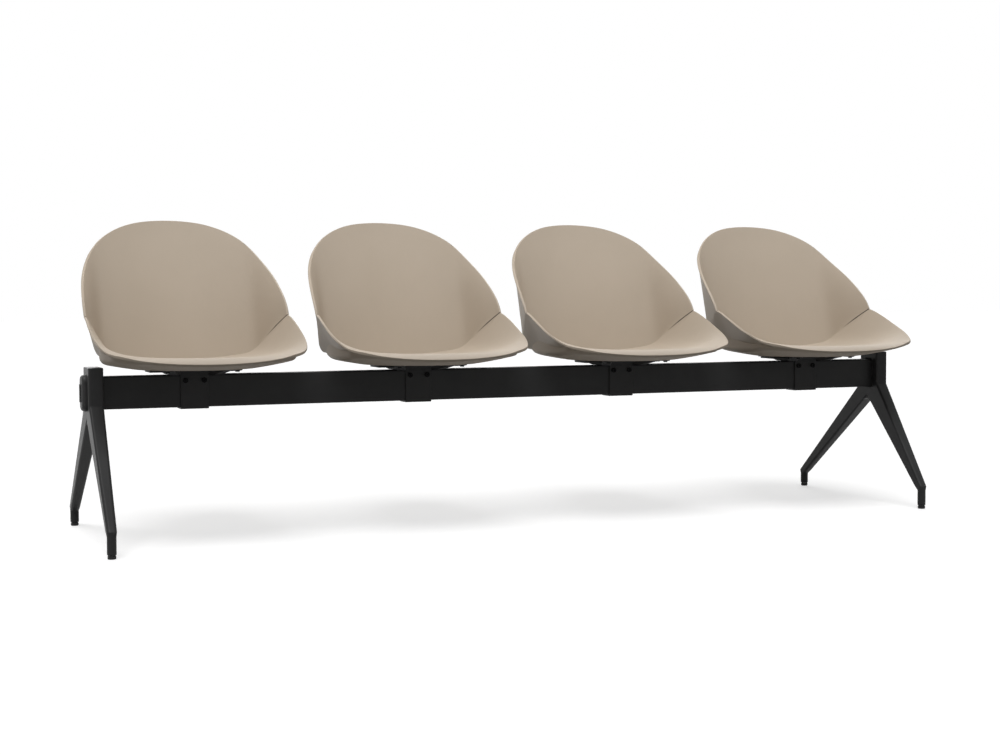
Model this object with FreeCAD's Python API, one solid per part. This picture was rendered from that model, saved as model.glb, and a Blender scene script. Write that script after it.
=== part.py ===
"""Four-seat beam bench: moulded bucket shells on one steel beam with two cast V legs.

Millimetres, +Z up, +X to the sitter's left as seen from the front, sitters face -Y.
The origin is on the floor under the middle of the bench's bounding box.
Seat pieces are drawn about the middle of their own seat, with Y measured from the
beam's front face, and are then moved to their place on the beam.
"""
import FreeCAD
import Part
import math
import os

V = FreeCAD.Vector

# Driving dimensions: layout
SEAT_COUNT = 4
SEAT_PITCH = 580.0
LEG_CENTRE_X = 1111.0
BEAM_HEIGHT = 80.0
BEAM_DEPTH = 40.0
BEAM_WALL = 3.0
BEAM_CORNER = 4.0
BEAM_TOP_Z = 408.0
# How far a cutting tool passes the face that it leaves by
OVERCUT = 1.0

# Seat shell: one moulding of even thickness
SHELL_WALL = 5.5
BACK_TOP_Z = 797.0
BACK_FOOT_Y = 228.0
BACK_FOOT_Z = 440.0
BACK_LEAN = 0.301
BACK_CURVE_RADIUS = 312.5
SIDE_BEND_X = 203.0
SIDE_BEND_ROUND = 7.0
SIDE_SLOPE = 2.5
OUTER_BEND_SHARE = 0.3
OUTER_BEND_SHIFT = 8.0
OUTER_SIDE_SLOPE = 2.95
SIDE_FADE_START_Z = 500.0
SIDE_FADE_END_Z = 775.0
# Height and half width of the rim of the back, from the kink to the top
BACK_RIM = ((552.4, 250.0), (585.0, 250.0), (617.0, 246.5), (652.0, 238.5), (686.0, 224.0),
            (720.0, 203.5), (748.0, 177.0), (772.0, 137.5), (788.0, 91.0), (795.0, 45.0))
# Seat pan: along Y the height of its middle line and how far its sides curve up from it
PAN = ((-260.0, 455.0, 0.0), (-200.0, 456.0, 1.0), (-130.0, 452.0, 7.0), (-40.0, 445.0, 13.0),
       (60.0, 439.0, 17.0), (150.0, 435.5, 19.5), (240.0, 434.5, 20.5), (320.0, 434.5, 20.5))
PAN_SIDE_X = 200.0
# Wing: along Y the rim's half width, its height, the bend's half width and its softness
WING = ((-260.0, 236.4, 469.0, 190.0, 40.0), (-177.0, 236.4, 469.0, 190.0, 40.0),
        (-102.0, 251.5, 496.0, 209.0, 20.0), (-24.0, 252.5, 525.0, 207.0, 12.0),
        (55.2, 250.5, 552.4, 198.0, 10.0), (171.0, 250.5, 567.0, 196.0, 9.0),
        (320.0, 250.5, 575.0, 195.0, 9.0))
# Front lip: plan outline y = front + square and fourth power terms, and its rolled edge
LIP_FRONT_Y = -237.3
LIP_SQUARE = 4.71e-4
LIP_FOURTH = 1.10e-8
LIP_EDGE_Z = 441.9
LIP_CORNER_RISE = 25.0
LIP_CORNER_X = 236.4
LIP_FADE_X = 165.0
LIP_RISE_POWER = 2.4
LIP_ROLL = 42.0
# Plan points of the rim from the middle of the lip to the kink
SEAT_RIM = ((0.0, -237.3), (60.0, -235.4), (120.0, -228.2), (172.0, -213.8), (208.0, -196.4),
            (230.0, -178.0), (244.0, -150.0), (251.0, -112.0), (253.5, -60.0), (253.0, 0.0),
            (250.0, 54.0))
RIM_BAND = 12.0
BLANK_MARGIN = 9.0
BLANK_HALF_WIDTH = 275.0
BLANK_POINTS = 21
# Even grids that carry the two surfaces: start, end and count, all past the rim
BACK_GRID_X = (-288.0, 288.0, 97)
BACK_GRID_Z = (395.0, 830.0, 30)
SEAT_GRID_X = (-288.0, 288.0, 97)
SEAT_GRID_Y = (-265.0, 365.0, 64)
SLOPE_STEP = 0.5
# How far the back is swept forward and the seat upward to make a solid
BACK_SWEEP = 900.0
SEAT_SWEEP = 700.0

# Under tray: hollow cover below the pan that the bracket carries
TRAY_BOTTOM_Z = 424.2
TRAY_WALL = 3.5
TRAY_FRONT_INSET = 13.0
TRAY_CORNER_EASE = 9.0
TRAY_CORNER_X = 188.0
TRAY_REAR_INSET = 14.0
TRAY_HALF_WIDTH = 226.0
# Places across the tray where its outline follows the lip and the back
TRAY_FRONT_X = (0.0, 50.0, 100.0, 145.0)
TRAY_REAR_X = (150.0, 100.0, 50.0, 0.0)
# Tray side: share of the half width along Y, front to back
TRAY_SIDE = ((0.965, -150.0), (0.99, -105.0), (1.0, -40.0), (0.985, 30.0), (0.95, 95.0),
             (0.885, 142.0))
TRAY_BLOCK_HEIGHT = 90.0
TRAY_DISH_RADIUS = 1050.0
TRAY_DISH_DEPTH = 10.8
TRAY_EDGE_ROUND = 15.0
BOSS_DIAMETER = 17.0

# Bracket: four-armed casting on top of the beam
PAD_X = 84.0
PAD_FRONT_Y = -100.0
PAD_REAR_Y = 104.0
PAD_DIAMETER = 24.0
PAD_THICKNESS = 3.5
ARM_WIDTH = 22.0
ARM_ROOT_X = 40.0
ARM_ROOT_Y = 10.0
ARM_LEVEL_SHARE = 0.31
ARM_RISE_SHARE = 0.76
HUB_HALF_WIDTH = 56.0
HUB_RECESS_HALF_WIDTH = 19.0
HUB_RECESS_DEPTH = 2.5
FLANGE_GAP = 0.2
FLANGE_THICKNESS = 8.0
FLANGE_DROP = 34.0

# Clamp plate and its bolts
CLAMP_WIDTH = 69.0
CLAMP_THICKNESS = 4.0
CLAMP_BOLT_X = 22.9
CLAMP_BOLT_DROP = 14.0
BOLT_DIAMETER = 8.0
BOLT_HEAD_DIAMETER = 13.0
BOLT_HEAD_HEIGHT = 5.0
BOLT_CLEARANCE = 0.5
BOLT_END_GAP = 2.0
THREAD_CLEARANCE = 0.1
CLAMP_HOOK_HEIGHT = 18.0
CLAMP_ROUND_SHARE = 0.6
SOCKET_SHARE = 0.65
SOCKET_DEPTH_SHARE = 0.6
HEAD_ROUND_SHARE = 0.3

# Seat screws and inserts
SCREW_DIAMETER = 6.0
SCREW_HEAD_DIAMETER = 11.0
SCREW_HEAD_HEIGHT = 3.3
SCREW_TIP_LENGTH = 0.5
SCREW_CLEARANCE = 0.4
INSERT_DIAMETER = 9.0
INSERT_LENGTH = 7.5
INSERT_SINK = 0.5

# Leg casting
HEAD_WIDTH = 36.0
HEAD_FRONT_Y = -26.0
HEAD_REAR_Y = 58.0
HEAD_TOP_Z = 430.0
HEAD_FOOT_Z = 338.0
FOOT_FRONT_Y = -220.0
FOOT_REAR_Y = 383.0
ANKLE_DIAMETER = 22.0
ANKLE_EASE = 0.1
ANKLE_BOTTOM_Z = 9.0
FRONT_KNEE_Z = 62.0
REAR_KNEE_Z = 50.0
KNEE_DROP = 11.0
ARCH_Y = 25.0
ARCH_Z = 302.0
ARCH_RADIUS = 26.0
ARCH_WEB_WIDTH = 30.0
ARM_TOP_WIDTH = 34.0
KNEE_WIDTH = 24.0
KNEE_ROUND = 8.0
LEG_ROUND = 6.0
HEAD_TOP_ROUND = 2.5
SOCKET_CLEARANCE = 0.3

# End cap on the outer face of the leg
CAP_THICKNESS = 12.0
CAP_OVERLAP = 4.0
CAP_PLUG_CLEARANCE = 0.3
CAP_PLUG_WALL = 2.5
CAP_CORNER = 18.0
CAP_EDGE_ROUND = 8.0
CAP_PANEL_THICKNESS = 3.0
CAP_PANEL_HEIGHT = 44.0
CAP_PANEL_DEPTH = 14.0

# Leg fixing: two screws from the rear into a plate inside the beam
LEG_SCREW_DIAMETER = 8.0
LEG_SCREW_SPACING = 44.0
LEG_SCREW_HEAD_SINK = 9.0
THREAD_PLATE_THICKNESS = 6.0
THREAD_PLATE_WIDTH = 22.0
THREAD_PLATE_HEIGHT = 66.0

# Levelling feet
STUD_DIAMETER = 8.0
STUD_TOP_Z = 46.0
STUD_RADIAL_CLEARANCE = 0.05
GLIDE_DIAMETER = 20.0
GLIDE_HEIGHT = 8.0
GLIDE_CHAMFER = 1.2
STUD_SEAT_Z = 3.0
HEEL_DIAMETER = 11.0
HEEL_HEIGHT = 3.0
STUD_SLOT_WIDTH = 1.6

# The bounding box runs from the lip to the rear ankle, and its middle is the origin
FRONT_EXTENT_Y = LIP_FRONT_Y
REAR_EXTENT_Y = FOOT_REAR_Y + ANKLE_DIAMETER / 2
BEAM_FRONT_Y = -(FRONT_EXTENT_Y + REAR_EXTENT_Y) / 2
BEAM_BOTTOM_Z = BEAM_TOP_Z - BEAM_HEIGHT
BEAM_MIDDLE_Z = BEAM_TOP_Z - BEAM_HEIGHT / 2
BEAM_HALF_LENGTH = LEG_CENTRE_X + HEAD_WIDTH / 2 - CAP_PLUG_CLEARANCE


def box(x0, x1, y0, y1, z0, z1):
    """Box between two corners."""
    return Part.makeBox(x1 - x0, y1 - y0, z1 - z0, V(x0, y0, z0))


def cylinder(diameter, start, end):
    """Round bar between two points."""
    axis = end - start
    return Part.makeCylinder(diameter / 2, axis.Length, start, axis)


def mirror_x(points):
    """Right half of a list of points, joined to its mirror image, left end first."""
    left = [V(-p.x, p.y, p.z) for p in reversed(points) if p.x > 1e-6]
    return left + list(points)


def along(stations, t, column=1):
    """Smooth value of one column of a station list at t."""
    keys = [s[0] for s in stations]
    values = [s[column] for s in stations]
    if t <= keys[0]:
        return values[0]
    if t >= keys[-1]:
        return values[-1]
    slopes = [0.0]
    for i in range(1, len(keys) - 1):
        slopes.append((values[i + 1] - values[i - 1]) / (keys[i + 1] - keys[i - 1]))
    slopes.append(0.0)
    i = max(k for k in range(len(keys) - 1) if keys[k] <= t)
    span = keys[i + 1] - keys[i]
    u = (t - keys[i]) / span
    return (values[i] * (1 + 2 * u) * (1 - u) ** 2 + slopes[i] * span * u * (1 - u) ** 2
            + values[i + 1] * u * u * (3 - 2 * u) - slopes[i + 1] * span * u * u * (1 - u))


def soft_ramp(distance, softness):
    """Zero before a bend and a straight ramp after it, with a soft turn between."""
    return softness * math.log1p(math.exp(distance / softness))


def smooth_step(t):
    """0 to 1 with level ends."""
    t = min(max(t, 0.0), 1.0)
    return t * t * (3 - 2 * t)


def back_y(x, z, outer=0):
    """Face of the back: a leaning arc whose sides turn forward past a soft bend.

    The outer face, at outer=1, has a tighter bend, so the wall is thicker in the corner.
    """
    bend, softness, slope = SIDE_BEND_X, SIDE_BEND_ROUND, SIDE_SLOPE
    if outer:
        bend, softness, slope = bend + OUTER_BEND_SHIFT, softness * OUTER_BEND_SHARE, OUTER_SIDE_SLOPE
    centre = BACK_FOOT_Y + BACK_LEAN * (z - BACK_FOOT_Z)
    fade = (z - SIDE_FADE_START_Z) / (SIDE_FADE_END_Z - SIDE_FADE_START_Z)
    side = slope * (1 - smooth_step(fade)) * soft_ramp(abs(x) - bend, softness)
    return centre - x * x / (2 * BACK_CURVE_RADIUS) - side


def lip_y(x):
    """Plan line of the front lip."""
    return LIP_FRONT_Y + LIP_SQUARE * x ** 2 + LIP_FOURTH * x ** 4


def pan_z(x, y, outer=0):
    """Pan and wings before the front lip is rolled down."""
    half, height, bend, softness = (along(WING, y, k) for k in (1, 2, 3, 4))
    middle, camber = along(PAN, y, 1), along(PAN, y, 2)
    floor = middle + camber * (x / PAN_SIDE_X) ** 2
    floor_at_rim = middle + camber * (half / PAN_SIDE_X) ** 2
    if outer:
        bend, softness = bend + OUTER_BEND_SHIFT, softness * OUTER_BEND_SHARE
    reach = soft_ramp(abs(x) - bend, softness) / soft_ramp(half - bend, softness)
    return floor + (height - floor_at_rim) * reach


def seat_z(x, y, outer=0):
    """Face of the seat: pan, wings and rolled front lip."""
    x = abs(x)
    inside = min(y - lip_y(x), LIP_ROLL)
    edge = LIP_EDGE_Z + LIP_CORNER_RISE * (x / LIP_CORNER_X) ** LIP_RISE_POWER
    drop = edge - pan_z(x, lip_y(x), outer)
    fade = 1 - smooth_step((x - LIP_FADE_X) / (LIP_CORNER_X - LIP_FADE_X))
    return pan_z(x, y, outer) + drop * fade * (1 - inside / LIP_ROLL) ** 2


def gradient(function, a, b, outer=0):
    """Slopes of a height function along its two arguments."""
    rise_a = function(a + SLOPE_STEP, b, outer) - function(a - SLOPE_STEP, b, outer)
    rise_b = function(a, b + SLOPE_STEP, outer) - function(a, b - SLOPE_STEP, outer)
    return rise_a / (2 * SLOPE_STEP), rise_b / (2 * SLOPE_STEP)


def back_normal(x, z):
    """Unit normal of the back, pointing away from the sitter."""
    gx, gz = gradient(back_y, x, z)
    return V(-gx, 1.0, -gz).normalize()


def seat_normal(x, y):
    """Unit normal of the seat, pointing away from the sitter."""
    gx, gy = gradient(seat_z, x, y)
    return V(gx, gy, -1.0).normalize()


def grid_places(start, end, count):
    """Evenly spaced places, both ends included."""
    return [start + (end - start) * k / (count - 1) for k in range(count)]


def height_face(height, across, along_y):
    """Smooth face over an even grid, each a (start, end, count) triple."""
    xs = grid_places(*across)
    ys = grid_places(*along_y)
    rows = [[height(x, y) for y in ys] for x in xs]
    surface = Part.BSplineSurface()
    surface.interpolate(rows, xs[0], xs[1] - xs[0], ys[0], ys[1] - ys[0])
    return surface.toShape()


def thickened(function, a, b, offset):
    """Value of a height function moved so that the wall square to it is the offset."""
    outer = 1 if offset else 0
    gradient_a, gradient_b = gradient(function, a, b, outer)
    return function(a, b, outer) + offset * math.sqrt(1 + gradient_a ** 2 + gradient_b ** 2)


def back_face(offset):
    """Back surface as one smooth face, drawn lying down and then stood up."""
    face = height_face(lambda x, z: -thickened(back_y, x, z, offset), BACK_GRID_X, BACK_GRID_Z)
    face.rotate(V(0, 0, 0), V(1, 0, 0), 90)
    return face


def seat_face(offset):
    """Seat surface as one smooth face."""
    return height_face(lambda x, y: thickened(seat_z, x, y, -offset), SEAT_GRID_X, SEAT_GRID_Y)


def bucket(offset):
    """Everything in front of the back and above the seat at an offset."""
    in_front = back_face(offset).extrude(V(0, -BACK_SWEEP, 0))
    above = seat_face(offset).extrude(V(0, 0, SEAT_SWEEP))
    return in_front.common(above)


def curve(points):
    """Smooth edge through points, with equal parameters so that two of them pair up."""
    spline = Part.BSplineCurve()
    spline.interpolate(Points=points, Parameters=[float(i) for i in range(len(points))])
    return spline.toShape()


def rim_bands():
    """Two narrow bands square to the shell that cross it along its rim."""
    kink_z, kink_x = BACK_RIM[0]
    kink = V(kink_x, back_y(kink_x, kink_z), kink_z)
    kink_normal = (back_normal(kink_x, kink_z) + seat_normal(kink_x, kink.y)).normalize()
    back = [(V(0, back_y(0, BACK_TOP_Z), BACK_TOP_Z), back_normal(0, BACK_TOP_Z))]
    back += [(V(x, back_y(x, z), z), back_normal(x, z)) for z, x in reversed(BACK_RIM[1:])]
    back.append((kink, kink_normal))
    seat = [(V(x, y, seat_z(x, y)), seat_normal(x, y)) for x, y in SEAT_RIM[:-1]]
    seat.append((kink, kink_normal))
    bands = []
    for half in (back, seat):
        inner = mirror_x([p - n * RIM_BAND for p, n in half])
        outer = mirror_x([p + n * (RIM_BAND + SHELL_WALL) for p, n in half])
        bands.append(Part.makeRuledSurface(curve(inner), curve(outer)))
    return bands


def pad_places():
    """Middles of the four bracket pads."""
    return [(side * PAD_X, y) for y in (PAD_FRONT_Y, PAD_REAR_Y) for side in (-1, 1)]


def rounded_rectangle(x_middle, width, y0, y1, radius, z):
    """Closed wire of a rectangle with round corners, lying at a height."""
    x0 = x_middle - width / 2
    x1 = x_middle + width / 2
    c = radius * (1 - math.sqrt(0.5))
    line = Part.makeLine

    def corner(start, middle, end):
        return Part.Arc(start, middle, end).toShape()

    return Part.Wire([
        line(V(x0 + radius, y0, z), V(x1 - radius, y0, z)),
        corner(V(x1 - radius, y0, z), V(x1 - c, y0 + c, z), V(x1, y0 + radius, z)),
        line(V(x1, y0 + radius, z), V(x1, y1 - radius, z)),
        corner(V(x1, y1 - radius, z), V(x1 - c, y1 - c, z), V(x1 - radius, y1, z)),
        line(V(x1 - radius, y1, z), V(x0 + radius, y1, z)),
        corner(V(x0 + radius, y1, z), V(x0 + c, y1 - c, z), V(x0, y1 - radius, z)),
        line(V(x0, y1 - radius, z), V(x0, y0 + radius, z)),
        corner(V(x0, y0 + radius, z), V(x0 + c, y0 + c, z), V(x0 + radius, y0, z))])


def sheet_blank():
    """Column that the untrimmed shell is cut from: a little wider than its rim all round."""
    places = grid_places(-BLANK_HALF_WIDTH, BLANK_HALF_WIDTH, BLANK_POINTS)
    front = Part.BSplineCurve()
    front.interpolate([V(x, lip_y(x) - BLANK_MARGIN, BACK_GRID_Z[0]) for x in places])
    rear = SEAT_GRID_Y[1]
    corners = [front.EndPoint, V(BLANK_HALF_WIDTH, rear, BACK_GRID_Z[0]),
               V(-BLANK_HALF_WIDTH, rear, BACK_GRID_Z[0]), front.StartPoint]
    sides = [Part.makeLine(a, b) for a, b in zip(corners, corners[1:])]
    height = BACK_GRID_Z[1] - BACK_GRID_Z[0] - BLANK_MARGIN
    return Part.Face(Part.Wire([front.toShape()] + sides)).extrude(V(0, 0, height))


def make_shell(outside, cavity):
    """Moulded seat shell with its four screw bosses."""
    sheet = outside.common(sheet_blank()).cut(cavity)
    pieces = sheet.generalFuse(rim_bands())[0].Solids
    shell = max(pieces, key=lambda s: s.Volume)
    floor_z = TRAY_BOTTOM_Z + TRAY_WALL
    for x, y in pad_places():
        top_z = seat_z(x, y) - SHELL_WALL / 2
        boss = cylinder(BOSS_DIAMETER, V(x, y, floor_z), V(x, y, top_z))
        bore = cylinder(INSERT_DIAMETER, V(x, y, floor_z), V(x, y, insert_top_z() + 2 * SCREW_TIP_LENGTH))
        shell = shell.fuse(boss).cut(bore)
    return shell


def insert_top_z():
    """Top of the threaded inserts, which start just above the tray's floor."""
    return TRAY_BOTTOM_Z + TRAY_WALL + INSERT_SINK + INSERT_LENGTH


def tray_outline(inset):
    """Plan outline of the tray as a closed smooth wire, at an inset from its own edge."""
    half = TRAY_HALF_WIDTH - inset
    squeeze = half / TRAY_HALF_WIDTH
    right = [(x, lip_y(x) + TRAY_FRONT_INSET + inset) for x in TRAY_FRONT_X]
    corner = (TRAY_CORNER_X, lip_y(TRAY_CORNER_X) + TRAY_FRONT_INSET + TRAY_CORNER_EASE + inset)
    sides = [(share * TRAY_HALF_WIDTH, y) for share, y in TRAY_SIDE]
    rear = [(x, back_y(x, BACK_FOOT_Z) - TRAY_REAR_INSET - inset) for x in TRAY_REAR_X]
    right = [V(x * squeeze, y, 0) for x, y in right + [corner] + sides + rear]
    left = [V(-p.x, p.y, 0) for p in reversed(right[1:-1])]
    spline = Part.BSplineCurve()
    spline.interpolate(Points=right + left, PeriodicFlag=True)
    return Part.Wire([spline.toShape()])


def tray_block(inset):
    """Dished block with a flat middle and a round lower edge, as the tray or its hollow."""
    low = TRAY_BOTTOM_Z - TRAY_DISH_DEPTH
    prism = Part.Face(tray_outline(inset)).extrude(V(0, 0, TRAY_BLOCK_HEIGHT))
    prism.translate(V(0, 0, low))
    middle_y = (lip_y(0) + BACK_FOOT_Y) / 2
    ball = Part.makeSphere(TRAY_DISH_RADIUS - inset, V(0, middle_y, low + TRAY_DISH_RADIUS))
    block = prism.common(ball)
    lower = [e for e in block.Edges
             if e.BoundBox.ZMax < TRAY_BOTTOM_Z + TRAY_BLOCK_HEIGHT / 2 and e.Length > SEAT_PITCH]
    block = block.makeFillet(TRAY_EDGE_ROUND - inset, lower)
    reach = SEAT_PITCH / 2
    return block.common(box(-reach, reach, -reach, reach, TRAY_BOTTOM_Z + inset, BACK_TOP_Z))


def make_tray(outside):
    """Hollow cover under the pan, closed above by the shell and open round its bosses."""
    tray = tray_block(0.0).cut(tray_block(TRAY_WALL)).cut(outside)
    for x, y in pad_places():
        tray = tray.cut(cylinder(SCREW_DIAMETER + SCREW_CLEARANCE, V(x, y, TRAY_BOTTOM_Z - OVERCUT),
                                 V(x, y, TRAY_BOTTOM_Z + TRAY_WALL + OVERCUT)))
    return max(tray.Solids, key=lambda s: s.Volume)


def make_inserts():
    """Four threaded inserts in the shell's bosses."""
    rings = []
    for x, y in pad_places():
        top = V(x, y, insert_top_z())
        foot = top - V(0, 0, INSERT_LENGTH)
        hole = cylinder(SCREW_DIAMETER + THREAD_CLEARANCE, foot, top)
        rings.append(cylinder(INSERT_DIAMETER, foot, top).cut(hole))
    return Part.makeCompound(rings)


def socket_screw(diameter, head_diameter, head_height, length):
    """Round-headed socket screw along +Z, its head below the origin."""
    head = cylinder(head_diameter, V(0, 0, -head_height), V(0, 0, 0))
    rim = [e for e in head.Edges if abs(e.BoundBox.ZMax + head_height) < 0.01 and e.Closed]
    head = head.makeFillet(head_height * HEAD_ROUND_SHARE, rim)
    shank = cylinder(diameter, V(0, 0, 0), V(0, 0, length))
    across = diameter * SOCKET_SHARE
    corners = [V(across / math.sqrt(3) * math.cos(math.radians(60 * k)),
                 across / math.sqrt(3) * math.sin(math.radians(60 * k)), -head_height)
               for k in range(7)]
    socket = Part.Face(Part.makePolygon(corners)).extrude(V(0, 0, head_height * SOCKET_DEPTH_SHARE))
    return head.fuse(shank).cut(socket).removeSplitter()


def make_seat_screws():
    """Four screws from below the bracket's pads into the inserts."""
    screws = []
    seat = TRAY_BOTTOM_Z - PAD_THICKNESS
    length = insert_top_z() + SCREW_TIP_LENGTH - seat
    for x, y in pad_places():
        screw = socket_screw(SCREW_DIAMETER, SCREW_HEAD_DIAMETER, SCREW_HEAD_HEIGHT, length)
        screw.translate(V(x, y, seat))
        screws.append(screw)
    return Part.makeCompound(screws)


def clamp_bolt_places():
    """X and Z of the two clamp bolts."""
    return [(side * CLAMP_BOLT_X, BEAM_TOP_Z - CLAMP_BOLT_DROP) for side in (-1, 1)]


def make_bracket():
    """Casting with a hub over the beam, a flange behind it and four arms with pads."""
    pad_low_z = TRAY_BOTTOM_Z - PAD_THICKNESS
    rear_y = BEAM_DEPTH + FLANGE_GAP + FLANGE_THICKNESS
    bracket = box(-HUB_HALF_WIDTH, HUB_HALF_WIDTH, -CLAMP_THICKNESS, rear_y, BEAM_TOP_Z,
                  TRAY_BOTTOM_Z)
    for x, y in pad_places():
        start = V(math.copysign(ARM_ROOT_X, x), BEAM_DEPTH / 2 + math.copysign(ARM_ROOT_Y, y), 0)
        run = V(x, y, 0) - start
        side = V(0, 0, 1).cross(run).normalize() * (ARM_WIDTH / 2)
        profile = [(0.0, BEAM_TOP_Z), (ARM_LEVEL_SHARE, BEAM_TOP_Z), (ARM_RISE_SHARE, pad_low_z),
                   (1.0, pad_low_z), (1.0, TRAY_BOTTOM_Z), (0.0, TRAY_BOTTOM_Z),
                   (0.0, BEAM_TOP_Z)]
        points = [start + run * share - side + V(0, 0, z) for share, z in profile]
        arm = Part.Face(Part.makePolygon(points)).extrude(side * 2)
        pad = cylinder(PAD_DIAMETER, V(x, y, pad_low_z), V(x, y, TRAY_BOTTOM_Z))
        bracket = bracket.fuse([arm, pad])
    flange = box(-CLAMP_WIDTH / 2, CLAMP_WIDTH / 2, BEAM_DEPTH + FLANGE_GAP, rear_y,
                 BEAM_TOP_Z - FLANGE_DROP, BEAM_TOP_Z)
    bracket = bracket.fuse(flange).removeSplitter()
    bracket = bracket.cut(box(-HUB_RECESS_HALF_WIDTH, HUB_RECESS_HALF_WIDTH, -SEAT_PITCH / 2,
                              SEAT_PITCH / 2, TRAY_BOTTOM_Z - HUB_RECESS_DEPTH, TRAY_BOTTOM_Z))
    for x, y in pad_places():
        bracket = bracket.cut(cylinder(SCREW_DIAMETER + SCREW_CLEARANCE, V(x, y, pad_low_z - OVERCUT),
                                       V(x, y, TRAY_BOTTOM_Z + OVERCUT)))
    for x, z in clamp_bolt_places():
        bracket = bracket.cut(cylinder(BOLT_DIAMETER + THREAD_CLEARANCE, V(x, BEAM_DEPTH, z),
                                       V(x, rear_y + OVERCUT, z)))
    return bracket


def make_clamp_plate():
    """Plate on the beam's front with a lip under the beam and a hook behind it."""
    half = CLAMP_WIDTH / 2
    low_z = BEAM_BOTTOM_Z - CLAMP_THICKNESS
    hook_y = BEAM_DEPTH + FLANGE_GAP
    front = box(-half, half, -CLAMP_THICKNESS, 0, low_z, BEAM_TOP_Z)
    lip = box(-half, half, -CLAMP_THICKNESS, hook_y + CLAMP_THICKNESS, low_z, BEAM_BOTTOM_Z)
    hook = box(-half, half, hook_y, hook_y + CLAMP_THICKNESS, low_z, low_z + CLAMP_HOOK_HEIGHT)
    plate = front.fuse([lip, hook]).removeSplitter()
    outer = [e for e in plate.Edges if e.Length > CLAMP_WIDTH - 1
             and abs(e.BoundBox.ZMax - low_z) < 0.01]
    plate = plate.makeFillet(CLAMP_THICKNESS * CLAMP_ROUND_SHARE, outer)
    for x, z in clamp_bolt_places():
        plate = plate.cut(cylinder(BOLT_DIAMETER + BOLT_CLEARANCE, V(x, -CLAMP_THICKNESS - OVERCUT, z),
                                   V(x, OVERCUT, z)))
    return plate


def make_clamp_bolts():
    """Two bolts through the clamp plate and the beam into the bracket's flange."""
    bolts = []
    length = CLAMP_THICKNESS + BEAM_DEPTH + FLANGE_GAP + FLANGE_THICKNESS - BOLT_END_GAP
    for x, z in clamp_bolt_places():
        bolt = socket_screw(BOLT_DIAMETER, BOLT_HEAD_DIAMETER, BOLT_HEAD_HEIGHT, length)
        bolt.rotate(V(0, 0, 0), V(1, 0, 0), -90)
        bolt.translate(V(x, -CLAMP_THICKNESS, z))
        bolts.append(bolt)
    return Part.makeCompound(bolts)


def seat_centres():
    """X of each seat's middle, left to right as seen from the front."""
    return [(k - (SEAT_COUNT - 1) / 2) * SEAT_PITCH for k in range(SEAT_COUNT)]


def beam_section(inset):
    """Rectangle of the beam's section at the left end, at an inset from its outside."""
    radius = max(BEAM_CORNER - inset, 1.0)
    wire = rounded_rectangle(-BEAM_MIDDLE_Z, BEAM_HEIGHT - 2 * inset, inset, BEAM_DEPTH - inset,
                             radius, -BEAM_HALF_LENGTH)
    wire.rotate(V(0, 0, 0), V(0, 1, 0), 90)
    return wire


def make_beam():
    """Rectangular steel tube with holes for the clamp bolts and the leg screws."""
    length = V(2 * BEAM_HALF_LENGTH, 0, 0)
    solid = Part.Face(beam_section(0.0)).extrude(length)
    beam = solid.cut(Part.Face(beam_section(BEAM_WALL)).extrude(length))
    for centre in seat_centres():
        for x, z in clamp_bolt_places():
            place = V(centre + x, -OVERCUT, z)
            beam = beam.cut(cylinder(BOLT_DIAMETER + 2 * BOLT_CLEARANCE, place,
                                     place + V(0, BEAM_DEPTH + 2 * OVERCUT, 0)))
    for side in (-1, 1):
        for z in leg_screw_heights():
            place = V(side * LEG_CENTRE_X, BEAM_DEPTH / 2, z)
            beam = beam.cut(cylinder(LEG_SCREW_DIAMETER + 2 * BOLT_CLEARANCE, place,
                                     place + V(0, BEAM_DEPTH, 0)))
    return beam


def leg_screw_heights():
    """Heights of the two screws in each leg's head."""
    return [BEAM_MIDDLE_Z + side * LEG_SCREW_SPACING / 2 for side in (-1, 1)]


def line_y(y0, z0, y1, z1, z):
    """Y at a height on the straight line between two points."""
    return y0 + (y1 - y0) * (z - z0) / (z1 - z0)


def leg_arm(foot_y, outer_y, knee_z):
    """One arm from the full head down to its round ankle, as a chain of straight lofts."""
    toward_rear = foot_y > outer_y
    ankle = ANKLE_DIAMETER / 2
    outer_foot_y = foot_y + (ankle if toward_rear else -ankle)
    inner_foot_y = foot_y - (ankle if toward_rear else -ankle)
    knee_low_z = knee_z - KNEE_DROP

    def outer_at(z):
        return line_y(outer_y, HEAD_FOOT_Z, outer_foot_y, knee_z, z)

    def inner_at(z):
        return line_y(ARCH_Y, ARCH_Z, inner_foot_y, knee_low_z, z)

    round_ankle = ankle - ANKLE_EASE
    levels = [(HEAD_FOOT_Z, HEAD_WIDTH, HEAD_FRONT_Y, HEAD_REAR_Y, LEG_ROUND),
              (ARCH_Z, ARM_TOP_WIDTH, outer_at(ARCH_Z), ARCH_Y, LEG_ROUND),
              (knee_z, KNEE_WIDTH, outer_foot_y, inner_at(knee_z), KNEE_ROUND),
              (knee_low_z, ANKLE_DIAMETER, outer_foot_y, inner_foot_y, round_ankle),
              (ANKLE_BOTTOM_Z, ANKLE_DIAMETER, outer_foot_y, inner_foot_y, round_ankle)]
    wires = [rounded_rectangle(0.0, width, min(a, b), max(a, b), radius, z)
             for z, width, a, b, radius in levels]
    spans = [Part.makeLoft([upper, lower], True, True) for upper, lower in zip(wires, wires[1:])]
    return spans[0].fuse(spans[1:]).removeSplitter()


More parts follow.
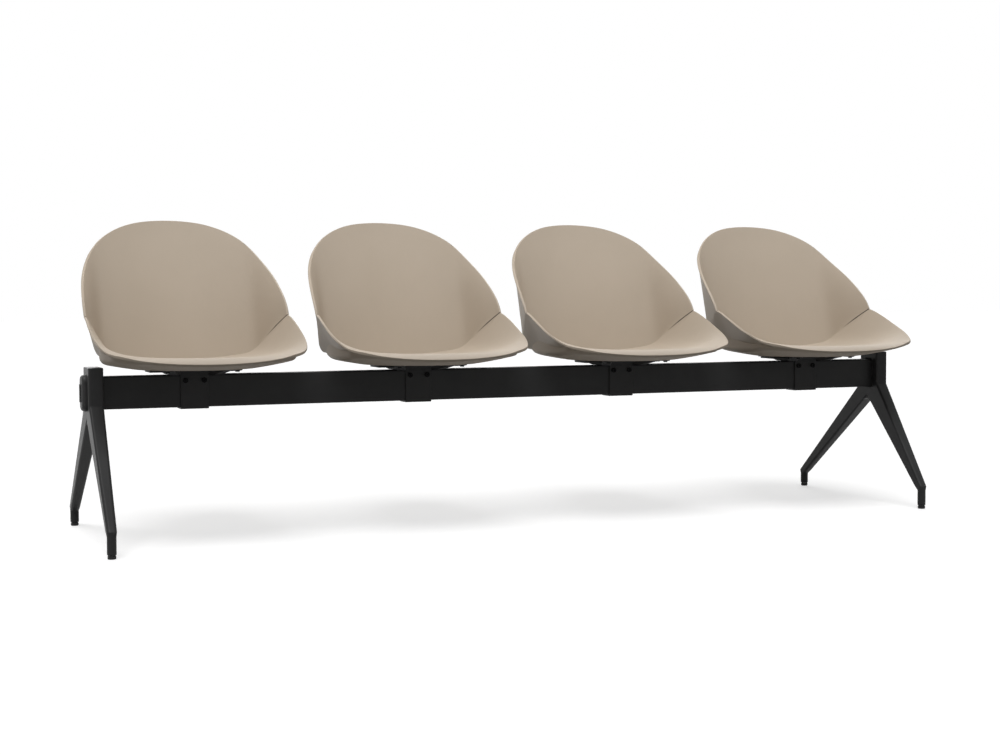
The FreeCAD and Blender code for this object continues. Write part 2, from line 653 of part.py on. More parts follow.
def arch_filler():
    """Web that rounds the top of the space between the two arms."""
    apex = V(0, ARCH_Y, ARCH_Z)
    front = V(0, FOOT_FRONT_Y + ANKLE_DIAMETER / 2, FRONT_KNEE_Z - KNEE_DROP) - apex
    rear = V(0, FOOT_REAR_Y - ANKLE_DIAMETER / 2, REAR_KNEE_Z - KNEE_DROP) - apex
    front.normalize()
    rear.normalize()
    half_angle = front.getAngle(rear) / 2
    tangent = ARCH_RADIUS / math.tan(half_angle)
    middle = (front + rear).normalize()
    centre = apex + middle * (ARCH_RADIUS / math.sin(half_angle))
    half_width = V(ARCH_WEB_WIDTH / 2, 0, 0)
    corners = [apex, apex + front * tangent, centre, apex + rear * tangent, apex]
    kite = Part.Face(Part.makePolygon([p - half_width for p in corners])).extrude(half_width * 2)
    hole = cylinder(2 * ARCH_RADIUS, centre - half_width * 2, centre + half_width * 2)
    return kite.cut(hole)


def make_leg():
    """Cast leg: a head round the beam and two arms, drawn about its own middle plane."""
    head_wire = rounded_rectangle(0.0, HEAD_WIDTH, HEAD_FRONT_Y, HEAD_REAR_Y, LEG_ROUND, HEAD_FOOT_Z)
    head = Part.Face(head_wire).extrude(V(0, 0, HEAD_TOP_Z - HEAD_FOOT_Z))
    top = [e for e in head.Edges if abs(e.BoundBox.ZMin - HEAD_TOP_Z) < 0.01]
    head = head.makeFillet(HEAD_TOP_ROUND, top)
    leg = head.fuse([leg_arm(FOOT_FRONT_Y, HEAD_FRONT_Y, FRONT_KNEE_Z),
                     leg_arm(FOOT_REAR_Y, HEAD_REAR_Y, REAR_KNEE_Z), arch_filler()])
    leg = leg.removeSplitter()
    c = SOCKET_CLEARANCE
    leg = leg.cut(box(-HEAD_WIDTH, HEAD_WIDTH, -c, BEAM_DEPTH + c, BEAM_BOTTOM_Z - c,
                      BEAM_TOP_Z + c))
    seat_y = HEAD_REAR_Y - LEG_SCREW_HEAD_SINK
    for z in leg_screw_heights():
        leg = leg.cut(cylinder(LEG_SCREW_DIAMETER + BOLT_CLEARANCE, V(0, BEAM_DEPTH, z),
                               V(0, HEAD_REAR_Y + 1, z)))
        leg = leg.cut(cylinder(BOLT_HEAD_DIAMETER + 2 * BOLT_CLEARANCE, V(0, seat_y, z),
                               V(0, HEAD_REAR_Y + 1, z)))
    for y in (FOOT_FRONT_Y, FOOT_REAR_Y):
        bore = STUD_DIAMETER + 2 * STUD_RADIAL_CLEARANCE
        leg = leg.cut(cylinder(bore, V(0, y, ANKLE_BOTTOM_Z - 1), V(0, y, STUD_TOP_Z + 1)))
    return leg


def make_leg_screws():
    """Two screws from the rear of the leg's head into the plate inside the beam."""
    seat_y = HEAD_REAR_Y - LEG_SCREW_HEAD_SINK
    length = seat_y - (BEAM_DEPTH - BEAM_WALL - THREAD_PLATE_THICKNESS)
    screws = []
    for z in leg_screw_heights():
        screw = socket_screw(LEG_SCREW_DIAMETER, BOLT_HEAD_DIAMETER, BOLT_HEAD_HEIGHT, length)
        screw.rotate(V(0, 0, 0), V(1, 0, 0), 90)
        screw.translate(V(0, seat_y, z))
        screws.append(screw)
    return Part.makeCompound(screws)


def make_thread_plate():
    """Tapped plate inside the beam that the leg screws pull against its rear wall."""
    rear_y = BEAM_DEPTH - BEAM_WALL
    half_height = THREAD_PLATE_HEIGHT / 2
    plate = box(-THREAD_PLATE_WIDTH / 2, THREAD_PLATE_WIDTH / 2, rear_y - THREAD_PLATE_THICKNESS,
                rear_y, BEAM_MIDDLE_Z - half_height, BEAM_MIDDLE_Z + half_height)
    for z in leg_screw_heights():
        plate = plate.cut(cylinder(LEG_SCREW_DIAMETER + THREAD_CLEARANCE, V(0, 0, z),
                                   V(0, BEAM_DEPTH, z)))
    return plate


def make_end_cap():
    """Right-hand end cap: an oval plate on the leg's outer face, a plug and a raised panel."""
    face_x = HEAD_WIDTH / 2

    def slab(height, depth, radius, x0, x1):
        wire = rounded_rectangle(-BEAM_MIDDLE_Z, height, BEAM_DEPTH / 2 - depth / 2,
                                 BEAM_DEPTH / 2 + depth / 2, radius, x0)
        wire.rotate(V(0, 0, 0), V(0, 1, 0), 90)
        return Part.Face(wire).extrude(V(x1 - x0, 0, 0))

    cover_depth = BEAM_DEPTH + 2 * CAP_OVERLAP
    cover = slab(BEAM_HEIGHT + 2 * CAP_OVERLAP, cover_depth, CAP_CORNER, face_x,
                 face_x + CAP_THICKNESS)
    outer = [e for e in cover.Edges if abs(e.BoundBox.XMin - face_x - CAP_THICKNESS) < 0.01]
    cover = cover.makeFillet(CAP_EDGE_ROUND, outer)
    gap = BEAM_WALL + CAP_PLUG_CLEARANCE
    plug_x = THREAD_PLATE_WIDTH / 2 + CAP_PLUG_CLEARANCE
    plug_height = BEAM_HEIGHT - 2 * gap
    plug_depth = BEAM_DEPTH - 2 * gap
    plug = slab(plug_height, plug_depth, BEAM_CORNER, plug_x, face_x)
    hollow = slab(plug_height - 2 * CAP_PLUG_WALL, plug_depth - 2 * CAP_PLUG_WALL,
                  BEAM_CORNER / 2, plug_x, face_x)
    panel = slab(CAP_PANEL_HEIGHT, CAP_PANEL_DEPTH, BEAM_CORNER, face_x + CAP_THICKNESS,
                 face_x + CAP_THICKNESS + CAP_PANEL_THICKNESS)
    return cover.fuse([plug.cut(hollow), panel]).removeSplitter()


def make_glide(y):
    """Foot pad with a pocket for the stud's heel."""
    glide = cylinder(GLIDE_DIAMETER, V(0, y, 0), V(0, y, GLIDE_HEIGHT))
    glide = glide.makeChamfer(GLIDE_CHAMFER, [e for e in glide.Edges if e.Closed])
    c = STUD_RADIAL_CLEARANCE
    pocket = cylinder(HEEL_DIAMETER + 2 * c, V(0, y, STUD_SEAT_Z - c),
                      V(0, y, STUD_SEAT_Z + HEEL_HEIGHT + c))
    neck = cylinder(STUD_DIAMETER + 2 * c, V(0, y, STUD_SEAT_Z), V(0, y, GLIDE_HEIGHT + OVERCUT))
    return glide.cut(pocket).cut(neck)


def make_stud(y):
    """Levelling screw with a heel held in the foot pad and a slot in its top end."""
    heel = cylinder(HEEL_DIAMETER, V(0, y, STUD_SEAT_Z), V(0, y, STUD_SEAT_Z + HEEL_HEIGHT))
    rod = cylinder(STUD_DIAMETER, V(0, y, STUD_SEAT_Z), V(0, y, STUD_TOP_Z))
    slot = box(-STUD_SLOT_WIDTH / 2, STUD_SLOT_WIDTH / 2, y - STUD_DIAMETER, y + STUD_DIAMETER,
               STUD_TOP_Z - STUD_SLOT_WIDTH, STUD_TOP_Z + OVERCUT)
    return heel.fuse(rod).removeSplitter().cut(slot)


def save(name, shape, x=0.0):
    """Moves a piece along the beam and into the bench's frame, and writes its file."""
    placed = shape.copy()
    placed.translate(V(x, BEAM_FRONT_Y, 0))
    solids = placed.Solids
    print(f"{name}: {len(solids)} solids, valid {placed.isValid()}, {placed.Volume:.0f} mm3")
    result = solids[0] if len(solids) == 1 else Part.makeCompound(solids)
    result.exportStep(f"parts/{name}.step")


def save_seats():
    """The pieces that repeat at each seat."""
    outside = bucket(SHELL_WALL)
    cavity = bucket(0.0)
    pieces = {
        "seat_shell": make_shell(outside, cavity),
        "under_tray": make_tray(outside),
        "shell_inserts": make_inserts(),
        "seat_screws": make_seat_screws(),
        "seat_bracket": make_bracket(),
        "clamp_plate": make_clamp_plate(),
        "clamp_bolts": make_clamp_bolts(),
    }
    for number, centre in enumerate(seat_centres(), start=1):
        for name, shape in pieces.items():
            save(f"{name}_{number}", shape, centre)


def save_ends():
    """The legs with their caps, screws, plates and levelling feet."""
    leg = make_leg()
    cap = make_end_cap()
    caps = {"left": cap.mirror(V(0, 0, 0), V(1, 0, 0)), "right": cap}
    for side, x in (("left", -LEG_CENTRE_X), ("right", LEG_CENTRE_X)):
        save(f"leg_{side}", leg, x)
        save(f"end_cap_{side}", caps[side], x)
        save(f"leg_screws_{side}", make_leg_screws(), x)
        save(f"thread_plate_{side}", make_thread_plate(), x)
        for place, y in (("front", FOOT_FRONT_Y), ("rear", FOOT_REAR_Y)):
            save(f"foot_glide_{place}_{side}", make_glide(y), x)
            save(f"foot_stud_{place}_{side}", make_stud(y), x)


os.makedirs("parts", exist_ok=True)
save("beam", make_beam())
save_ends()
save_seats()
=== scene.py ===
import math

import bpy
from mathutils import Matrix, Vector


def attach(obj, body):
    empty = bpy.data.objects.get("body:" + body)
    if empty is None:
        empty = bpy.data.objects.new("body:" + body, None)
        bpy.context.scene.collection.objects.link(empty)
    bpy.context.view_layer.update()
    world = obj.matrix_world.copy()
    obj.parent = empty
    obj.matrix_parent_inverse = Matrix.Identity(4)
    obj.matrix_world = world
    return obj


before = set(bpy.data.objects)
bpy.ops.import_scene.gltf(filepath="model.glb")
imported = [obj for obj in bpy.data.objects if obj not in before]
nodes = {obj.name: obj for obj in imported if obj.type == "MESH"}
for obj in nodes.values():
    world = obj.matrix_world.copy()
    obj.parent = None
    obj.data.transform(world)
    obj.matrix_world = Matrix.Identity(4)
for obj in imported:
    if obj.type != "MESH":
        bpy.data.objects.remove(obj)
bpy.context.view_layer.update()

# Camera: place, turn from +Y towards +X, tilt and roll in degrees, and lens
CAMERA_PLACE = (-1.7239, -4.2033, 0.6172)
CAMERA_YAW = 21.942
CAMERA_PITCH = -3.032
CAMERA_ROLL = -0.230
CAMERA_LENS = 60.944
SENSOR_WIDTH = 36.0

# Seats along the beam
SEAT_PITCH = 0.58
SEAT_MIDDLES = (-0.87, -0.29, 0.29, 0.87)

# Inner crease between back and seat, on the sitter's left of a seat's own middle, which carries a
# line of painted shade:
# its top at the rim's kink, its middle and where it ends at the back of the pan
CREASE_TOP = (0.2520, -0.0279, 0.5540)
CREASE_MIDDLE = (0.2296, 0.0237, 0.5200)
CREASE_END = (0.2053, 0.0790, 0.4780)
# Painted shade: heights below which the crease's dark line fades out, its width, and how dark it is
# painted
CREASE_SHADE_FADE_LOW = 0.494
CREASE_SHADE_FADE_HIGH = 0.522
CREASE_SHADE_WIDTH = 0.0046
CREASE_SHADE_STRENGTH = 1.0

# Saddle plate on each bracket's arms, below the tray, with a low lip turned up at each end
SADDLE_WIDTH = 0.222
SADDLE_FRONT_Y = -0.095
SADDLE_REAR_Y = -0.022
SADDLE_LOW_Z = 0.4152
SADDLE_THICKNESS = 0.0036
SADDLE_LIP = 0.0032
SADDLE_LIP_RISE = 0.0048
SADDLE_EDGE = 0.0007
FACES_UP = 0.5

# Colours, as linear light
SHELL_COLOUR = (0.455, 0.385, 0.308, 1.0)
SHELL_COLOUR_CLOUD = (0.438, 0.370, 0.294, 1.0)
# Painted shade: colour of the dark line painted along the crease
CREASE_PAINTED_SHADE = (0.030, 0.024, 0.020, 1.0)
TRAY_COLOUR = (0.455, 0.383, 0.306, 1.0)
TRAY_COLOUR_CLOUD = (0.438, 0.368, 0.292, 1.0)
BLACK_COAT = (0.0310, 0.0310, 0.0313, 1.0)
BRACKET_COAT = (0.0450, 0.0450, 0.0453, 1.0)
LEG_COAT = (0.0380, 0.0380, 0.0385, 1.0)
BLACK_PLASTIC = (0.029, 0.029, 0.029, 1.0)
BLACK_PLASTIC_CLOUD = (0.024, 0.024, 0.024, 1.0)
BLACK_STEEL = (0.0045, 0.0045, 0.0048, 1.0)
ZINC = (0.46, 0.46, 0.44, 1.0)
BRASS = (0.62, 0.44, 0.18, 1.0)
WHITE = (1.0, 1.0, 1.0, 1.0)

# Surface detail: grain as cells a metre, relief as strength and height in metres
NOISE_LOW = 0.3
NOISE_HIGH = 0.7
PLASTIC_CLOUD_GRAIN = 7.0
PLASTIC_ROUGHNESS_SPREAD = 0.05
PLASTIC_RELIEF = (0.22, 0.0002)
PLASTIC_GLOSS = 0.25
POWDER_PEEL_GRAIN = 420.0
POWDER_CLOUD_GRAIN = 12.0
POWDER_CLOUD_LIGHTER = 1.25
POWDER_ROUGHNESS_SPREAD = 0.04
POWDER_RELIEF = (0.18, 0.0002)
METAL_MARKS_DARKER = 0.8
METAL_ROUGHNESS_SPREAD = 0.06
METAL_RELIEF = (0.1, 0.0001)

# Light
AMBIENT = 0.14
KEY_FROM = (-0.18, -0.38, 0.91)
KEY_STRENGTH = 1.52
KEY_SOFTNESS = 32.0
FILL_FROM = (0.30, 0.85, 0.42)
FILL_STRENGTH = 1.15
FILL_SOFTNESS = 60.0
STRIP_PLACE = (-0.20, -0.06, 1.02)
STRIP_AIM = (-0.20, -0.05, 0.0)
STRIP_SIZE = (3.2, 0.25)
STRIP_WATTS = 5.8
FLOOR_GLOW = 0.57
FLOOR_COLOUR = 0.66
FLOOR_BOUNCE = 0.20
FLOOR_SIZE = 60.0
FLOOR_DROP = 0.0005
LAMP_DISTANCE = 3.0


def new_material(name):
    """Node material with its shader, and the coordinates of the piece it is on."""
    made = bpy.data.materials.new(name)
    made.use_nodes = True
    tree = made.node_tree
    tree.nodes.clear()
    output = tree.nodes.new("ShaderNodeOutputMaterial")
    shader = tree.nodes.new("ShaderNodeBsdfPrincipled")
    tree.links.new(shader.outputs["BSDF"], output.inputs["Surface"])
    places = tree.nodes.new("ShaderNodeTexCoord")
    return made, tree, shader, places.outputs["Object"]


def noise(tree, places, scale, detail=3.0, roughness=0.5):
    """Noise over the piece, with its grain as cells a metre."""
    texture = tree.nodes.new("ShaderNodeTexNoise")
    texture.inputs["Scale"].default_value = scale
    texture.inputs["Detail"].default_value = detail
    texture.inputs["Roughness"].default_value = roughness
    tree.links.new(places, texture.inputs["Vector"])
    return texture.outputs["Fac"]


def mapped(tree, value, from_low, from_high, low, high):
    """Value moved from one range to another and held within it."""
    node = tree.nodes.new("ShaderNodeMapRange")
    node.inputs["From Min"].default_value = from_low
    node.inputs["From Max"].default_value = from_high
    node.inputs["To Min"].default_value = low
    node.inputs["To Max"].default_value = high
    tree.links.new(value, node.inputs["Value"])
    return node.outputs["Result"]


def spread(tree, value, low, high):
    """Noise stretched so that its usual range fills the one between two values."""
    return mapped(tree, value, NOISE_LOW, NOISE_HIGH, low, high)


def mixed_colour(tree, value, first, second):
    """Colour between two, where each is a colour or another node's output."""
    mix = tree.nodes.new("ShaderNodeMix")
    mix.data_type = "RGBA"
    tree.links.new(value, mix.inputs["Factor"])
    for side, colour in (("A", first), ("B", second)):
        if isinstance(colour, tuple):
            mix.inputs[side].default_value = colour
        else:
            tree.links.new(colour, mix.inputs[side])
    return mix.outputs["Result"]


def calculate(tree, operation, first, second=None, third=None):
    """One Math node; each term is a number or another node's output."""
    node = tree.nodes.new("ShaderNodeMath")
    node.operation = operation
    for socket, term in zip(node.inputs, (first, second, third)):
        if term is None:
            continue
        if isinstance(term, float):
            socket.default_value = term
        else:
            tree.links.new(term, socket)
    return node.outputs["Value"]


def shaded(colour, factor):
    """A colour made lighter or darker."""
    return tuple(factor * c for c in colour[:3]) + (1.0,)


def bump(tree, shader, height, relief):
    """Small relief on a surface."""
    node = tree.nodes.new("ShaderNodeBump")
    node.inputs["Strength"].default_value, node.inputs["Distance"].default_value = relief
    tree.links.new(height, node.inputs["Height"])
    tree.links.new(node.outputs["Normal"], shader.inputs["Normal"])


def vary_roughness(tree, shader, value, middle, half):
    """Roughness that wanders a little to both sides of its middle."""
    tree.links.new(spread(tree, value, middle - half, middle + half), shader.inputs["Roughness"])


def parabola(points):
    """Coefficients, constant first, of the parabola through three (t, value) pairs."""
    (t0, v0), (t1, v1), (t2, v2) = points
    slope = (v1 - v0) / (t1 - t0)
    bend = ((v2 - v0) / (t2 - t0) - slope) / (t2 - t1)
    return v0 - slope * t0 + bend * t0 * t1, slope - bend * (t0 + t1), bend


def along_crease(tree, height, column):
    """Where the crease runs at a height, across the seat or from front to back."""
    crease = (CREASE_TOP, CREASE_MIDDLE, CREASE_END)
    constant, slope, bend = parabola([(p[2], p[column]) for p in crease])
    inner = calculate(tree, "MULTIPLY_ADD", height, bend, slope)
    return calculate(tree, "MULTIPLY_ADD", height, inner, constant)


def painted_crease_shade(tree, places):
    """How far a point lies in the line of painted shade at the upper end of the crease, 0 to 1."""
    split = tree.nodes.new("ShaderNodeSeparateXYZ")
    tree.links.new(places, split.inputs["Vector"])
    from_seat = calculate(tree, "SUBTRACT", split.outputs["X"], SEAT_PITCH / 2)
    from_middle = calculate(tree, "WRAP", from_seat, -SEAT_PITCH / 2, SEAT_PITCH / 2)
    sideways = calculate(tree, "ABSOLUTE", from_middle)
    height = split.outputs["Z"]
    off_x = calculate(tree, "SUBTRACT", sideways, along_crease(tree, height, 0))
    off_y = calculate(tree, "SUBTRACT", split.outputs["Y"], along_crease(tree, height, 1))
    squares = calculate(tree, "MULTIPLY_ADD", off_x, off_x, calculate(tree, "MULTIPLY", off_y, off_y))
    distance = calculate(tree, "SQRT", squares)
    line = mapped(tree, distance, CREASE_SHADE_WIDTH / 3, CREASE_SHADE_WIDTH, CREASE_SHADE_STRENGTH, 0.0)
    fade = mapped(tree, height, CREASE_SHADE_FADE_LOW, CREASE_SHADE_FADE_HIGH, 0.0, 1.0)
    return calculate(tree, "MULTIPLY", line, fade)


def moulded_plastic(name, colour, cloud_colour, grain, roughness, crease=False):
    """Matte moulded plastic with a fine spark-eroded grain and a faint cloud in its colour, and with
    crease a line of painted shade along the seat's inner crease.
    """
    made, tree, shader, places = new_material(name)
    cloud = spread(tree, noise(tree, places, PLASTIC_CLOUD_GRAIN), 0.0, 1.0)
    skin = mixed_colour(tree, cloud, colour, cloud_colour)
    # Painted shade: a dark line is painted into the colour along the upper end of the crease
    if crease:
        skin = mixed_colour(tree, painted_crease_shade(tree, places), skin, CREASE_PAINTED_SHADE)
    tree.links.new(skin, shader.inputs["Base Color"])
    fine = noise(tree, places, grain, detail=2.0, roughness=0.6)
    vary_roughness(tree, shader, fine, roughness, PLASTIC_ROUGHNESS_SPREAD)
    bump(tree, shader, fine, PLASTIC_RELIEF)
    shader.inputs["Specular IOR Level"].default_value = PLASTIC_GLOSS
    return made


def powder_coat(name, colour, roughness, specular):
    """Black powder coat: a satin skin with the low orange peel of baked powder."""
    made, tree, shader, places = new_material(name)
    peel = noise(tree, places, POWDER_PEEL_GRAIN, detail=2.0)
    cloud = spread(tree, noise(tree, places, POWDER_CLOUD_GRAIN), 0.0, 1.0)
    lighter = shaded(colour, POWDER_CLOUD_LIGHTER)
    tree.links.new(mixed_colour(tree, cloud, colour, lighter), shader.inputs["Base Color"])
    vary_roughness(tree, shader, peel, roughness, POWDER_ROUGHNESS_SPREAD)
    bump(tree, shader, peel, POWDER_RELIEF)
    shader.inputs["Specular IOR Level"].default_value = specular
    return made


def worked_metal(name, colour, roughness, grain, metallic=1.0, specular=0.5):
    """Bare, plated or blackened metal with fine turning marks."""
    made, tree, shader, places = new_material(name)
    marks = noise(tree, places, grain, detail=4.0)
    darker = shaded(colour, METAL_MARKS_DARKER)
    shade = spread(tree, marks, 0.0, 1.0)
    tree.links.new(mixed_colour(tree, shade, colour, darker), shader.inputs["Base Color"])
    vary_roughness(tree, shader, marks, roughness, METAL_ROUGHNESS_SPREAD)
    bump(tree, shader, marks, METAL_RELIEF)
    shader.inputs["Metallic"].default_value = metallic
    shader.inputs["Specular IOR Level"].default_value = specular
    return made


# The shell's colour carries a line of painted shade in the crease between back and pan
shell_plastic = moulded_plastic("shell_plastic", SHELL_COLOUR, SHELL_COLOUR_CLOUD, 1500.0, 0.52,
                                crease=True)
tray_plastic = moulded_plastic("tray_plastic", TRAY_COLOUR, TRAY_COLOUR_CLOUD, 1500.0, 0.58)
cap_plastic = moulded_plastic("cap_plastic", BLACK_PLASTIC, BLACK_PLASTIC_CLOUD, 1200.0, 0.5)
glide_plastic = moulded_plastic("glide_plastic", BLACK_PLASTIC, BLACK_PLASTIC_CLOUD, 1200.0, 0.6)
beam_coat = powder_coat("beam_coat", BLACK_COAT, 0.48, 0.14)
bracket_coat = powder_coat("bracket_coat", BRACKET_COAT, 0.5, 0.12)
leg_coat = powder_coat("leg_coat", LEG_COAT, 0.38, 0.11)
black_steel = worked_metal("black_steel", BLACK_STEEL, 0.45, 900.0, metallic=0.0,
                           specular=0.06)
zinc_steel = worked_metal("zinc_steel", ZINC, 0.32, 700.0)
brass = worked_metal("brass", BRASS, 0.3, 700.0)

# Smallest turn that is a real edge, in degrees
HARD_ANGLE = 35.0
LEG_HARD_ANGLE = 28.0

# Finish, smallest turn that is a real edge, and edge round in metres, by kind of piece
FINISH = {
    "seat_shell": (shell_plastic, HARD_ANGLE, 0.0013),
    "under_tray": (tray_plastic, HARD_ANGLE, 0.0010),
    "shell_inserts": (brass, HARD_ANGLE, 0.0),
    "seat_screws": (black_steel, HARD_ANGLE, 0.0),
    "seat_bracket": (bracket_coat, HARD_ANGLE, 0.0006),
    "clamp_plate": (bracket_coat, HARD_ANGLE, 0.0005),
    "clamp_bolts": (black_steel, HARD_ANGLE, 0.0),
    "beam": (beam_coat, HARD_ANGLE, 0.0),
    "leg": (leg_coat, LEG_HARD_ANGLE, 0.0022),
    "leg_screws": (black_steel, HARD_ANGLE, 0.0),
    "thread_plate": (zinc_steel, HARD_ANGLE, 0.0004),
    "end_cap": (cap_plastic, HARD_ANGLE, 0.0004),
    "foot_glide": (glide_plastic, HARD_ANGLE, 0.0),
    "foot_stud": (zinc_steel, HARD_ANGLE, 0.0),
}
PLACE_WORDS = ("left", "right", "front", "rear", "1", "2", "3", "4")
WELD_DISTANCE = 1e-6
EDGE_SEGMENTS = 3


def kind_of(name):
    """The kind of a node: its name without side, place and seat number."""
    return "_".join(word for word in name.split("_") if word not in PLACE_WORDS)


def dress(node, material, hard_angle, edge_round):
    """Gives a node its finish, and smooth faces between rounded or sharp edges."""
    node.data.materials.clear()
    node.data.materials.append(material)
    node.data.polygons.foreach_set("use_smooth", [True] * len(node.data.polygons))
    node.data.polygons.foreach_set("material_index", [0] * len(node.data.polygons))
    weld = node.modifiers.new("weld", "WELD")
    weld.merge_threshold = WELD_DISTANCE
    if not edge_round:
        split = node.modifiers.new("split", "EDGE_SPLIT")
        split.split_angle = math.radians(hard_angle)
        split.use_edge_sharp = False
        return
    bevel = node.modifiers.new("edge", "BEVEL")
    bevel.width = edge_round
    bevel.segments = EDGE_SEGMENTS
    bevel.limit_method = "ANGLE"
    bevel.angle_limit = math.radians(hard_angle)
    bevel.use_clamp_overlap = False
    bevel.miter_outer = "MITER_ARC"
    shading = node.modifiers.new("shading", "WEIGHTED_NORMAL")
    shading.keep_sharp = False


for name, node in nodes.items():
    dress(node, *FINISH[kind_of(name)])


def apply_place(piece):
    """Puts a piece's place and size into its mesh."""
    bpy.ops.object.select_all(action="DESELECT")
    piece.select_set(True)
    bpy.context.view_layer.objects.active = piece
    bpy.ops.object.transform_apply(location=True, rotation=True, scale=True)


def fold_lips(plate):
    """Cuts the plate near both ends and pulls up a lip on each."""
    bpy.ops.object.mode_set(mode="EDIT")
    for side in (-1, 1):
        bpy.ops.mesh.select_all(action="SELECT")
        cut_x = side * (SADDLE_WIDTH / 2 - SADDLE_LIP)
        bpy.ops.mesh.bisect(plane_co=(cut_x, 0.0, 0.0), plane_no=(1.0, 0.0, 0.0))
    bpy.ops.mesh.select_mode(type="FACE")
    bpy.ops.mesh.select_all(action="DESELECT")
    bpy.ops.object.mode_set(mode="OBJECT")
    for face in plate.data.polygons:
        at_end = abs(face.center.x) > SADDLE_WIDTH / 2 - SADDLE_LIP
        face.select = at_end and face.normal.z > FACES_UP
    bpy.ops.object.mode_set(mode="EDIT")
    bpy.ops.mesh.extrude_region_move(TRANSFORM_OT_translate={"value": (0.0, 0.0, SADDLE_LIP_RISE)})
    bpy.ops.mesh.select_all(action="SELECT")
    bpy.ops.mesh.normals_make_consistent(inside=False)
    bpy.ops.object.mode_set(mode="OBJECT")


def make_saddle_plate():
    """One saddle plate, across the middle of the row."""
    bpy.ops.object.select_all(action="DESELECT")
    middle = (0.0, (SADDLE_FRONT_Y + SADDLE_REAR_Y) / 2, SADDLE_LOW_Z + SADDLE_THICKNESS / 2)
    bpy.ops.mesh.primitive_cube_add(size=1.0, location=middle)
    plate = bpy.context.active_object
    plate.scale = (SADDLE_WIDTH, SADDLE_REAR_Y - SADDLE_FRONT_Y, SADDLE_THICKNESS)
    apply_place(plate)
    fold_lips(plate)
    edge = plate.modifiers.new("edge", "BEVEL")
    edge.width = SADDLE_EDGE
    edge.segments = EDGE_SEGMENTS
    bpy.ops.object.modifier_apply(modifier=edge.name)
    bpy.ops.object.shade_smooth_by_angle(angle=math.radians(HARD_ANGLE))
    plate.data.materials.append(bracket_coat)
    return plate


def place_saddle_plates():
    """A saddle plate below each seat, each with its own mesh."""
    pattern = make_saddle_plate()
    for number, seat_x in enumerate(SEAT_MIDDLES, start=1):
        plate = pattern.copy()
        plate.data = pattern.data.copy()
        plate.name = f"saddle_plate_{number}"
        bpy.context.scene.collection.objects.link(plate)
        plate.location.x = seat_x
        apply_place(plate)
        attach(plate, "bench")
    bpy.data.objects.remove(pattern)


place_saddle_plates()


def make_camera():
    """The camera at the picture's viewpoint."""
    yaw, pitch, roll = (math.radians(a) for a in (CAMERA_YAW, CAMERA_PITCH, CAMERA_ROLL))
    ahead = Vector((math.sin(yaw) * math.cos(pitch), math.cos(yaw) * math.cos(pitch),
                    math.sin(pitch)))
    level = Vector((math.cos(yaw), -math.sin(yaw), 0.0))
    upright = level.cross(ahead)
    right = math.cos(roll) * level + math.sin(roll) * upright
    up = -math.sin(roll) * level + math.cos(roll) * upright
    data = bpy.data.cameras.new("camera")
    data.lens = CAMERA_LENS
    data.sensor_width = SENSOR_WIDTH
    camera = bpy.data.objects.new("camera", data)
    bpy.context.scene.collection.objects.link(camera)
    turn = Matrix((right, up, -ahead)).transposed().to_4x4()
    camera.matrix_world = Matrix.Translation(CAMERA_PLACE) @ turn
    bpy.context.scene.camera = camera


def soft_light(name, light_from, strength, softness):
    """Even light from one side of the studio, with an angle that softens its shadows."""
    data = bpy.data.lights.new(name, "SUN")
    data.energy = strength
    data.angle = math.radians(softness)
    lamp = bpy.data.objects.new(name, data)
    bpy.context.scene.collection.objects.link(lamp)
    lamp.location = Vector(light_from) * LAMP_DISTANCE
    lamp.rotation_euler = Vector(light_from).to_track_quat("Z", "Y").to_euler()


def strip_light(place, aim, size, watts):
    """Long softbox that hangs over the front of the row."""
    data = bpy.data.lights.new("strip", "AREA")
    data.shape = "RECTANGLE"
    data.size, data.size_y = size
    data.energy = watts
    lamp = bpy.data.objects.new("strip", data)
    bpy.context.scene.collection.objects.link(lamp)
    lamp.visible_camera = False
    lamp.location = place
    lamp.rotation_euler = (Vector(aim) - Vector(place)).to_track_quat("-Z", "Y").to_euler()


def seen_directly(tree):
    """One where a camera, mirror or glass ray looks, and zero for the light on things."""
    path = tree.nodes.new("ShaderNodeLightPath")
    glossy = calculate(tree, "MAXIMUM", path.outputs["Is Camera Ray"], path.outputs["Is Glossy Ray"])
    return calculate(tree, "MAXIMUM", glossy, path.outputs["Is Transmission Ray"])


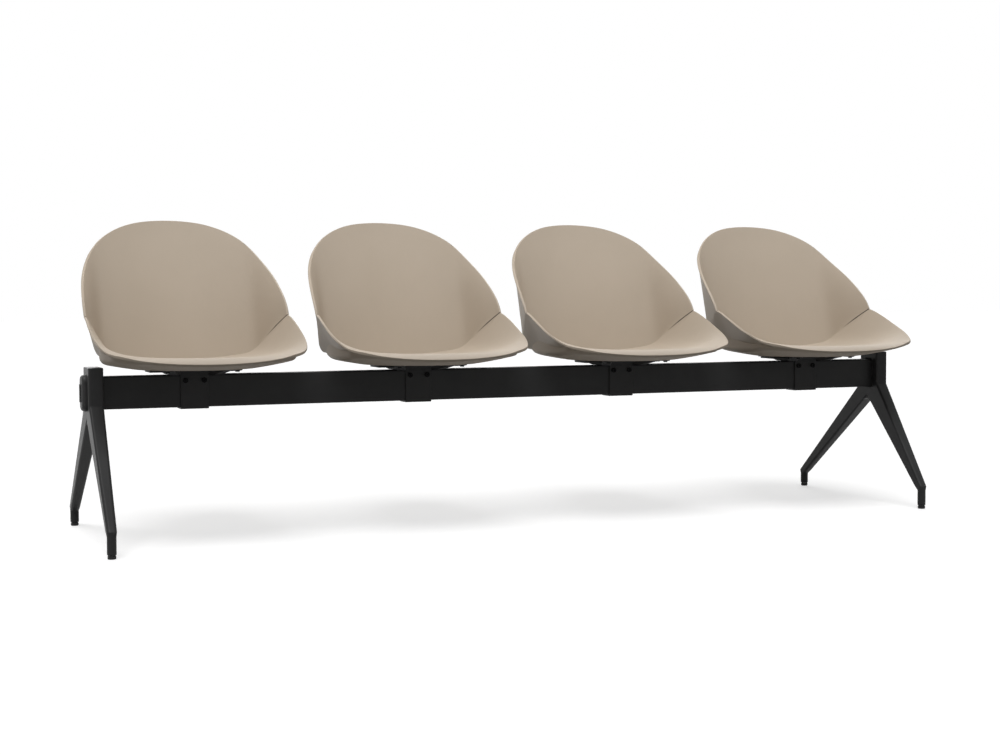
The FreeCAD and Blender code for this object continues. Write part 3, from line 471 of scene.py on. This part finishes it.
def make_world():
    """White where it is looked at and a plain even light otherwise."""
    world = bpy.data.worlds.new("studio")
    bpy.context.scene.world = world
    world.use_nodes = True
    tree = world.node_tree
    tree.nodes.clear()
    output = tree.nodes.new("ShaderNodeOutputWorld")
    lit = tree.nodes.new("ShaderNodeBackground")
    lit.inputs["Strength"].default_value = AMBIENT
    lit.inputs["Color"].default_value = WHITE
    shown = tree.nodes.new("ShaderNodeBackground")
    shown.inputs["Strength"].default_value = 1.0
    shown.inputs["Color"].default_value = WHITE
    mix = tree.nodes.new("ShaderNodeMixShader")
    tree.links.new(seen_directly(tree), mix.inputs["Fac"])
    tree.links.new(lit.outputs["Background"], mix.inputs[1])
    tree.links.new(shown.outputs["Background"], mix.inputs[2])
    tree.links.new(mix.outputs["Shader"], output.inputs["Surface"])


def matte_shader(tree, brightness):
    """Plain matte grey."""
    matte = tree.nodes.new("ShaderNodeBsdfDiffuse")
    matte.inputs["Color"].default_value = (brightness, brightness, brightness, 1.0)
    return matte.outputs["BSDF"]


def make_floor():
    """Plain white floor that keeps a pale shadow."""
    bpy.ops.object.select_all(action="DESELECT")
    bpy.ops.mesh.primitive_plane_add(size=FLOOR_SIZE, location=(0.0, 0.0, -FLOOR_DROP))
    floor = bpy.context.active_object
    floor.name = "floor"
    made = bpy.data.materials.new("floor_white")
    made.use_nodes = True
    tree = made.node_tree
    tree.nodes.clear()
    output = tree.nodes.new("ShaderNodeOutputMaterial")
    glow = tree.nodes.new("ShaderNodeEmission")
    glow.inputs["Strength"].default_value = FLOOR_GLOW
    shown = tree.nodes.new("ShaderNodeAddShader")
    tree.links.new(matte_shader(tree, FLOOR_COLOUR), shown.inputs[0])
    tree.links.new(glow.outputs["Emission"], shown.inputs[1])
    mix = tree.nodes.new("ShaderNodeMixShader")
    tree.links.new(seen_directly(tree), mix.inputs["Fac"])
    tree.links.new(matte_shader(tree, FLOOR_BOUNCE), mix.inputs[1])
    tree.links.new(shown.outputs["Shader"], mix.inputs[2])
    tree.links.new(mix.outputs["Shader"], output.inputs["Surface"])
    floor.data.materials.append(made)


make_camera()
make_world()
make_floor()
soft_light("key", KEY_FROM, KEY_STRENGTH, KEY_SOFTNESS)
soft_light("fill", FILL_FROM, FILL_STRENGTH, FILL_SOFTNESS)
strip_light(STRIP_PLACE, STRIP_AIM, STRIP_SIZE, STRIP_WATTS)

bpy.context.scene.view_settings.view_transform = "Standard"
